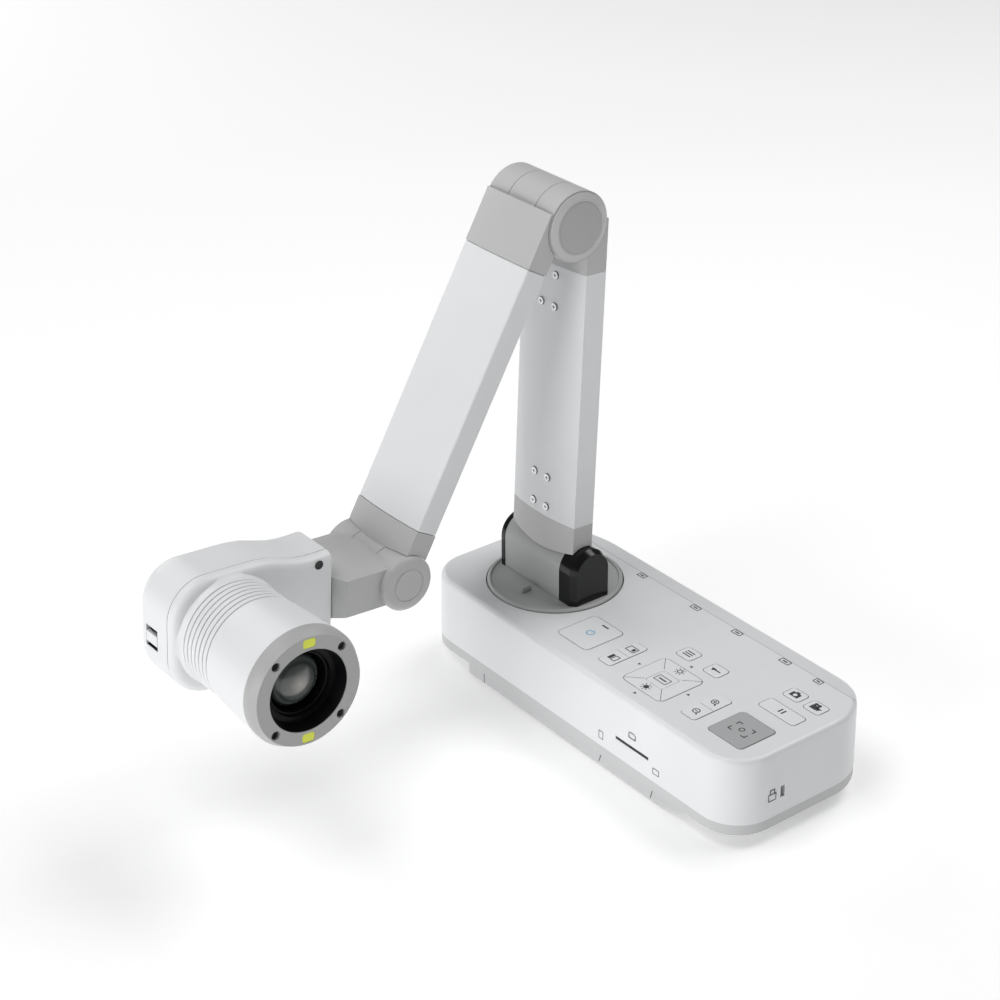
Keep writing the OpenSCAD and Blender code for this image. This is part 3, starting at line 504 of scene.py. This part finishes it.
# ---------------------------------------------------------------- Turntable and shoulder
# A dished grey disc turns in the base and carries the arched hinge housing. Two glossy
# black caps close the ends of the housing over the shoulder pin.
grey_disc = moulded("grey_disc", (0.455, 0.46, 0.46), 0.45, depth=0.08)
grey_hinge = moulded("grey_hinge", (0.53, 0.532, 0.53), 0.42, depth=0.08)
black_gloss = moulded("black_gloss", (0.008, 0.008, 0.009), 0.22, depth=0.015, coat=0.25, spec=0.3)
eased("turntable", "turntable_disc", grey_disc, 0.0005, 3, 30)
# The housing takes the darker disc grey rather than the hinge grey: painted shade for the shadow it sits in.
eased("hinge_housing", "housing_moulding", grey_disc, 0.0008, 3, 40)
eased("right_cap", "right_end_cap", black_gloss, 0.0008, 4, 30)
eased("left_cap", "left_end_cap", black_gloss, 0.0008, 4, 30)

# ---------------------------------------------------------------- Lower arm
# A white cover between two grey end mouldings, held by small bright cross-head screws.
# The crosses and the gap under each screw head are painted shade: dark crosses for the shade in the recesses and a
# dark disc behind each head for the shadow in the gap.
white_arm = moulded("white_arm", (0.80, 0.81, 0.82), 0.38)
eased("lower_foot", "lower_foot_moulding", grey_hinge, 0.0007, 3, 40)
eased("lower_shell", "lower_arm_cover", white_arm, 0.0012, 4, 40)
eased("lower_head", "lower_head_moulding", grey_hinge, 0.0008, 3, 40)
bright_steel = metal("bright_steel", (0.86, 0.86, 0.87), 0.38)
eased("arm_screws", "cover_screws", bright_steel, 0.00012, 2)
lean = Matrix.Rotation(math.radians(-2.7), 4, "X")
outward = lean.to_3x3() @ Vector((0, -1, 0))
heads = bmesh.new()
heads.from_mesh(frame["nodes"]["arm_screws"].data)
bmesh.ops.remove_doubles(heads, verts=heads.verts, dist=2e-6)
crosses = bmesh.new()
for first in heads.verts:
    if first.tag:
        continue
    first.tag = True
    group = [first]
    for v in group:
        for near in [e.other_vert(v) for e in v.link_edges]:
            if not near.tag:
                near.tag = True
                group.append(near)
    reach = max(v.co.dot(outward) for v in group)
    face = [v.co for v in group if reach - v.co.dot(outward) < 1e-5]
    centre = sum(face, Vector()) / len(face)
    seat = Matrix.Translation(centre) @ lean
    # Dark crosses of painted shade in each recess, and a dark disc of painted shade under each head.
    for size in ((0.0027, 0.00042, 0.00055), (0.00055, 0.00042, 0.0027)):
        bmesh.ops.create_cube(crosses, size=1, matrix=seat @ Matrix.Translation(
            (0, 0.00026, 0)) @ Matrix.Diagonal((*size, 1)))
    bmesh.ops.create_cone(crosses, cap_ends=True, segments=32, radius1=0.00236,
                          radius2=0.00236, depth=0.00016, matrix=seat
                          @ Matrix.Translation((0, 0.00076, 0))
                          @ Matrix.Rotation(math.radians(90), 4, "X"))
heads.free()
built(crosses, "screw_crosses", "lower_arm", black_matte)

# ---------------------------------------------------------------- Elbow discs
# Round covers pressed over the ends of the elbow pin. The right one has a bevelled rim
# and a slightly darker flat disc let into it.
dark_disc = moulded("dark_disc", (0.455, 0.455, 0.455), 0.5, depth=0.08)


def turned(bm, outline, centre):
    """A part turned about an axis along X: outline is a list of (along X, radius)."""
    chain = [bm.verts.new((x, 0, r)) for x, r in outline]
    edges = [bm.edges.new(pair) for pair in zip(chain, chain[1:])]
    bmesh.ops.spin(bm, geom=chain + edges, cent=(0, 0, 0), axis=(1, 0, 0), angle=math.tau,
                   steps=96, use_merge=True)
    bmesh.ops.remove_doubles(bm, verts=bm.verts, dist=1e-7)
    bmesh.ops.recalc_face_normals(bm, faces=bm.faces)
    bmesh.ops.transform(bm, verts=bm.verts, matrix=centre)


joint = {j["name"]: j for j in frame["joints"]}
elbow = Vector(joint["elbow_fold"]["pos_m"])
low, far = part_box("elbow_cap")
bm = bmesh.new()
r, t = (far.z - low.z) / 2, far.x - low.x
turned(bm, [(0, 0), (0, r - 0.0004), (0.0004, r), (0.0009, r), (t - 0.0002, r - 0.0030),
            (t, r - 0.0034), (t, r - 0.0042), (t - 0.0003, r - 0.0044), (t - 0.0003, 0)],
       Matrix.Translation((low.x, elbow.y, elbow.z)))
built(bm, "elbow_rim", "lower_arm", grey_hinge, angle=30, nodes=("elbow_cap",))
bm = bmesh.new()
turned(bm, [(t - 0.0004, 0), (t - 0.0004, r - 0.0045), (t - 0.0002, r - 0.0048),
            (t - 0.0001, r - 0.0052), (t - 0.0001, 0)],
       Matrix.Translation((low.x, elbow.y, elbow.z)))
built(bm, "elbow_inlay", "lower_arm", dark_disc, angle=50)
eased("elbow_plug", "elbow_back_cover", grey_hinge, 0.0005, 3, 20)

# ---------------------------------------------------------------- Forearm
# The upper arm section that carries the head: a long white cover with a rounded front,
# closed by a grey moulding with a hinge tongue at each end.
eased("fore_head", "fore_head_moulding", grey_hinge, 0.0008, 3, 40)
eased("fore_shell", "forearm_cover", white_arm, 0.0012, 4, 40)
eased("fore_foot", "fore_foot_moulding", grey_hinge, 0.0008, 3, 40)

# ---------------------------------------------------------------- Wrist
# A grey yoke with two round ears holds the head. The right ear is closed by a
# bevelled cover with a fine ring in its face.
wrist = Vector(joint["wrist_tilt"]["pos_m"])
eased("wrist_bracket", "wrist_yoke", grey_hinge, 0.0010, 3, 40)
low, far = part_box("wrist_cap")
r, t = (far.z - low.z) / 2, far.x - low.x
bm = bmesh.new()
turned(bm, [(0, 0), (0, r), (0.0012, r), (0.0024, r - 0.0008), (t - 0.0003, r - 0.0024),
            (t, r - 0.0030), (t, 0.0096), (t - 0.0003, 0.0094), (t - 0.0003, 0.0091),
            (t, 0.0089), (t, 0)],
       Matrix.Translation((low.x, wrist.y, wrist.z)))
built(bm, "wrist_cover", "wrist", grey_hinge, angle=40, nodes=("wrist_cap",))
eased("wrist_plug", "wrist_back_cover", grey_hinge, 0.0005, 3, 20)

# ---------------------------------------------------------------- Camera head shell
# Two white mouldings meet in a fine seam near the front face. The shell is slim where it
# meets the wrist and swells into a rounded square block around the lens.
head_frame = (Matrix.Translation(wrist) @ Matrix.Rotation(math.radians(-3.8), 4, "X"))
seam_x = 0.0136
half_x = 0.0200
end_y = -0.14015
side = [(-0.0435, 0.0273), (-0.0500, 0.0269), (-0.0570, 0.0269), (-0.0640, 0.0277),
        (-0.0720, 0.0298), (-0.0800, 0.0321), (-0.0880, 0.0331), (-0.0960, 0.0333)]


def head_block():
    bm = bmesh.new()
    upper = [bm.verts.new((-half_x, y, z)) for y, z in side]
    corner_up = bm.verts.new((-half_x, end_y, side[-1][1]))
    corner_low = bm.verts.new((-half_x, end_y, -side[-1][1]))
    lower = [bm.verts.new((-half_x, y, -z)) for y, z in reversed(side)]
    loop = upper + [corner_up, corner_low] + lower
    bm.faces.new(loop)
    bmesh.ops.bevel(bm, geom=[corner_up, corner_low], offset=0.0225, affect="VERTICES",
                    segments=14, profile=0.5, material=-1, clamp_overlap=False,
                    offset_type="OFFSET")
    out = bmesh.ops.extrude_face_region(bm, geom=bm.faces[:])
    moved = [g for g in out["geom"] if isinstance(g, bmesh.types.BMVert)]
    bmesh.ops.translate(bm, verts=moved, vec=(2 * half_x, 0, 0))
    bmesh.ops.recalc_face_normals(bm, faces=bm.faces)
    near = side[0][0] - 1e-5

    def rim(x):
        return [e for e in bm.edges if all(abs(v.co.x - x) < 1e-6 for v in e.verts)
                and not all(v.co.y > near for v in e.verts) and len(e.link_faces) == 2
                and e.calc_face_angle() > 1]
    bmesh.ops.bevel(bm, geom=rim(-half_x), offset=0.0125, affect="EDGES", segments=10,
                    profile=0.5, material=-1, clamp_overlap=False, offset_type="OFFSET")
    bmesh.ops.bevel(bm, geom=rim(half_x), offset=0.0046, affect="EDGES", segments=8,
                    profile=0.5, material=-1, clamp_overlap=False, offset_type="OFFSET")
    return bm


def seamed(bm, keep_front):
    """Cuts the block at the seam and turns the cut edge in a little on each side."""
    sign = 1 if keep_front else -1
    for step in (0.0003, 0.0):
        bmesh.ops.bisect_plane(bm, geom=bm.verts[:] + bm.edges[:] + bm.faces[:], dist=1e-6,
                               plane_co=(seam_x + sign * step, 0, 0), plane_no=(1, 0, 0),
                               clear_inner=keep_front and step == 0,
                               clear_outer=not keep_front and step == 0)
    cut = [v for v in bm.verts if abs(v.co.x - seam_x) < 1e-6]
    for v in cut:
        v.normal_update()
        n = Vector((0, v.normal.y, v.normal.z))
        if n.length > 1e-6:
            v.co -= n.normalized() * 0.0006
    rim = [e for e in bm.edges if e.is_boundary]
    bmesh.ops.holes_fill(bm, edges=rim, sides=0)
    bmesh.ops.recalc_face_normals(bm, faces=bm.faces)


bm = head_block()
seamed(bm, False)
window = Vector((-0.002, end_y, -0.0045))
for co, no in (((window.x - 0.0057, 0, 0), (1, 0, 0)), ((window.x + 0.0057, 0, 0), (1, 0, 0)),
               ((0, 0, window.z - 0.0060), (0, 0, 1)), ((0, 0, window.z + 0.0060), (0, 0, 1))):
    flats = [f for f in bm.faces if abs(f.calc_center_median().y - end_y) < 1e-5]
    edges = list({e for f in flats for e in f.edges})
    verts = list({v for f in flats for v in f.verts})
    bmesh.ops.bisect_plane(bm, geom=verts + edges + flats, dist=1e-6, plane_co=co, plane_no=no)
hole = [f for f in bm.faces if (f.calc_center_median() - window).length < 0.004
        and abs(f.calc_center_median().y - end_y) < 1e-5]
out = bmesh.ops.extrude_face_region(bm, geom=hole)
deep = [g for g in out["geom"] if isinstance(g, bmesh.types.BMVert)]
bmesh.ops.translate(bm, verts=deep, vec=(0, 0.003, 0))
bmesh.ops.delete(bm, geom=hole, context="FACES")
bmesh.ops.recalc_face_normals(bm, faces=bm.faces)
bmesh.ops.transform(bm, verts=bm.verts, matrix=head_frame)
built(bm, "head_back_shell", "head", white_arm, 0.0003, 2, 42,
      nodes=("head_back",))
bm = head_block()
seamed(bm, True)
bmesh.ops.transform(bm, verts=bm.verts, matrix=head_frame)
built(bm, "head_front_shell", "head", white_arm, 0.0003, 2, 42,
      nodes=("head_front",))

# A dark block just inside the shell fills the seam as painted shade for the gap between the two mouldings.
bm = head_block()
for x, outer in ((seam_x - 0.00028, False), (seam_x + 0.00028, True)):
    bmesh.ops.bisect_plane(bm, geom=bm.verts[:] + bm.edges[:] + bm.faces[:], dist=1e-6,
                           plane_co=(x, 0, 0), plane_no=(1, 0, 0), clear_outer=outer,
                           clear_inner=not outer)
bmesh.ops.scale(bm, vec=(1, 0.9955, 0.992), verts=bm.verts,
                space=Matrix.Translation((0, 0.0922, 0)))
bmesh.ops.holes_fill(bm, edges=[e for e in bm.edges if e.is_boundary], sides=0)
bmesh.ops.recalc_face_normals(bm, faces=bm.faces)
bmesh.ops.transform(bm, verts=bm.verts, matrix=head_frame)
shadow_grey = moulded("shadow_grey", (0.08, 0.082, 0.084), 0.7, depth=0.0)
built(bm, "shell_seam", "head", shadow_grey)

# A dark disc round the screw in the side of the shell is painted shade for its recess.
bm = bmesh.new()
recess_at = head_frame @ Matrix.Translation((0.01998, -0.0516, 0.0224))
turned(bm, [(0, 0), (0.0001, 0.0026), (0.0003, 0.0025), (0.0001, 0.0018), (0.0001, 0)], recess_at)
built(bm, "shell_screw_recess", "head", black_matte, angle=40)

# ---------------------------------------------------------------- Lens tube
# A white tube moulded with seven fine grip grooves near the shell, then widening in a
# long cone towards the lens ring. Dark rings of painted shade lie in the bottoms of the grooves.
lens_at = head_frame @ Matrix.Translation((0, -0.1064, 0))
bm = bmesh.new()
tube_side = [(0.0190, 0.0270), (0.0190, 0.0322), (0.0199, 0.0314), (0.0208, 0.0307),
           (0.0220, 0.0303)]
groove_places = [0.0240 + 0.0036 * n for n in range(7)]
for x in groove_places:
    tube_side += [(x - 0.0007, 0.03025), (x - 0.00035, 0.0300), (x - 0.00025, 0.0292),
                (x + 0.00025, 0.0292), (x + 0.00035, 0.0300), (x + 0.0007, 0.03025)]
tube_side += [(0.0478, 0.0303), (0.0482, 0.0306), (0.0520, 0.0310), (0.0640, 0.03175),
            (0.0760, 0.03245), (0.0847, 0.03290), (0.0851, 0.0326), (0.0852, 0.0270),
            (0.0190, 0.0270)]
turned(bm, tube_side, lens_at)
built(bm, "lens_tube", "head", white_arm, angle=26)
# Dark rings of painted shade in the groove bottoms.
bm = bmesh.new()
for x in groove_places:
    groove = bmesh.new()
    turned(groove, [(x - 0.0003, 0.0290), (x - 0.0003, 0.02955), (x + 0.0003, 0.02955),
                    (x + 0.0003, 0.0290), (x - 0.0003, 0.0290)], lens_at)
    step = bpy.data.meshes.new("groove")
    groove.to_mesh(step)
    groove.free()
    bm.from_mesh(step)
    bpy.data.meshes.remove(step)
built(bm, "tube_grooves", "head", shadow_grey, angle=30)

# ---------------------------------------------------------------- Lens ring
# A flat grey ring with a bevelled rim is held by four black screws set deep in it. Two
# yellow lamp windows sit level with its face, above and below the lens.
lens_ring_grey = moulded("lens_ring_grey", (0.44, 0.442, 0.44), 0.45, depth=0.08)
eased("lens_ring", "lens_ring_moulding", lens_ring_grey, 0.0004, 3, 30)
eased("ring_screws", "ring_screw_set", black_matte, 0.00015, 2)
eased("head_screw", "head_shell_screw", black_matte, 0.00012, 2)
lamp_yellow = moulded("lamp_yellow", (0.66, 0.72, 0.05), 0.32, 0.0012, 0.12, 0.08, coat=0.3)
lamp_yellow.node_tree.nodes["Principled BSDF"].inputs["Emission Color"].default_value = (
    0.7, 0.75, 0.05, 1)
lamp_yellow.node_tree.nodes["Principled BSDF"].inputs["Emission Strength"].default_value = 0.12
eased("lamp_windows", "lamp_window_pair", lamp_yellow, 0.0003, 3)

# ---------------------------------------------------------------- Lens
# Stepped black rings lead down to a domed front glass, its colour painted with a greenish reflection that is light
# at the centre. A second element and its retaining ring sit behind it.
lens_black = moulded("lens_black", (0.004, 0.004, 0.005), 0.32, depth=0.0, spec=0.12)
face = 0.0936
bm = bmesh.new()
turned(bm, [(0.0700, 0.0200), (face - 0.0008, 0.0230), (face - 0.0004, 0.0228),
            (face - 0.0004, 0.0225), (face - 0.0012, 0.0222), (face - 0.0075, 0.0208),
            (face - 0.0077, 0.0184), (face - 0.0071, 0.0182), (face - 0.0071, 0.0179),
            (face - 0.0096, 0.0172), (face - 0.0098, 0.0166), (face - 0.0120, 0.0162),
            (face - 0.0140, 0.0158), (face - 0.0200, 0.0156), (face - 0.0236, 0.0122),
            (face - 0.0236, 0.0)], lens_at)
built(bm, "lens_rings", "head", lens_black, angle=30, nodes=("lens_barrel",))


def glass_painted_reflection(name):
    """Dark glass whose colour carries a painted reflection: light grey at the centre of the dome, then rings of
    green, grey and rose darkening towards the rim.
    """
    mat = bpy.data.materials.new(name)
    mat.use_nodes = True
    nodes, links = mat.node_tree.nodes, mat.node_tree.links
    shader = nodes["Principled BSDF"]
    shader.inputs["Roughness"].default_value = 0.22
    shader.inputs["IOR"].default_value = 1.6
    shader.inputs["Coat Weight"].default_value = 0.35
    shader.inputs["Coat Roughness"].default_value = 0.08
    place = nodes.new("ShaderNodeTexCoord")
    centre = lens_at @ Vector((face - 0.0236, 0, 0))
    shift = nodes.new("ShaderNodeMapping")
    shift.inputs["Location"].default_value = (0, -centre.y, -centre.z)
    flatten = nodes.new("ShaderNodeVectorMath")
    flatten.operation = "MULTIPLY"
    flatten.inputs[1].default_value = (0, 1, 1)
    length = nodes.new("ShaderNodeVectorMath")
    length.operation = "LENGTH"
    scale = nodes.new("ShaderNodeMapRange")
    scale.inputs["From Max"].default_value = 0.0156
    ramp = nodes.new("ShaderNodeValToRGB")
    stops = ((0.0, (0.42, 0.40, 0.37)), (0.20, (0.30, 0.29, 0.27)), (0.36, (0.17, 0.18, 0.17)),
             (0.60, (0.12, 0.14, 0.13)), (0.68, (0.05, 0.06, 0.055)), (0.80, (0.16, 0.19, 0.17)),
             (0.88, (0.03, 0.035, 0.033)), (1.0, (0.01, 0.011, 0.011)))
    ramp.color_ramp.elements[0].position = stops[0][0]
    ramp.color_ramp.elements[0].color = (*stops[0][1], 1)
    ramp.color_ramp.elements[1].position = stops[-1][0]
    ramp.color_ramp.elements[1].color = (*stops[-1][1], 1)
    for position, colour in stops[1:-1]:
        ramp.color_ramp.elements.new(position).color = (*colour, 1)
    links.new(place.outputs["Object"], shift.inputs["Vector"])
    links.new(shift.outputs["Vector"], flatten.inputs[0])
    links.new(flatten.outputs["Vector"], length.inputs[0])
    links.new(length.outputs["Value"], scale.inputs["Value"])
    links.new(scale.outputs["Result"], ramp.inputs["Fac"])
    links.new(ramp.outputs["Color"], shader.inputs["Base Color"])
    return mat


bm = bmesh.new()
dome = [(face - 0.0276 + 0.020 * math.cos(math.radians(a)), 0.020 * math.sin(math.radians(a)))
        for a in range(0, 49, 2)]
turned(bm, [(face - 0.0150, 0), (face - 0.0150, 0.0150)] + list(reversed(dome)), lens_at)
built(bm, "front_glass", "head", glass_painted_reflection("glass_painted_reflection"), angle=60,
      nodes=("lens_glass",))

# ---------------------------------------------------------------- Lamp switch
# A small white thumb slider in the end of the head works the lamps. Three ribs across
# its face give the finger a grip, and dark sheets round the slot it slides in are painted shade.
middle = head_frame @ Matrix.Translation((-0.002, -0.1398, -0.005))
bm = bmesh.new()
bar(bm, (0, 0.0008, 0), (0.0104, 0.0024, 0.0060))
for z in (-0.0016, 0, 0.0016):
    bar(bm, (0, -0.0001, z), (0.0092, 0.0007, 0.0006))
bmesh.ops.transform(bm, verts=bm.verts, matrix=middle)
built(bm, "lamp_slider", "lamp_knob", white_keys, 0.0005, 3,
      nodes=("lamp_switch",))
# Thin dark sheets round the window are painted shade inside the slot.
slot_shade_at = head_frame @ Matrix.Translation((window.x, end_y, window.z))
bm = bmesh.new()
bar(bm, (0, 0.0028, 0), (0.0113, 0.0002, 0.0119))
for sign in (-1, 1):
    bar(bm, (sign * 0.00562, 0.00155, 0), (0.00012, 0.0023, 0.0119))
    bar(bm, (0, 0.00155, sign * 0.00592), (0.0113, 0.0023, 0.00012))
bmesh.ops.transform(bm, verts=bm.verts, matrix=slot_shade_at)
built(bm, "slider_slot_shade", "head", slot_shade_black)
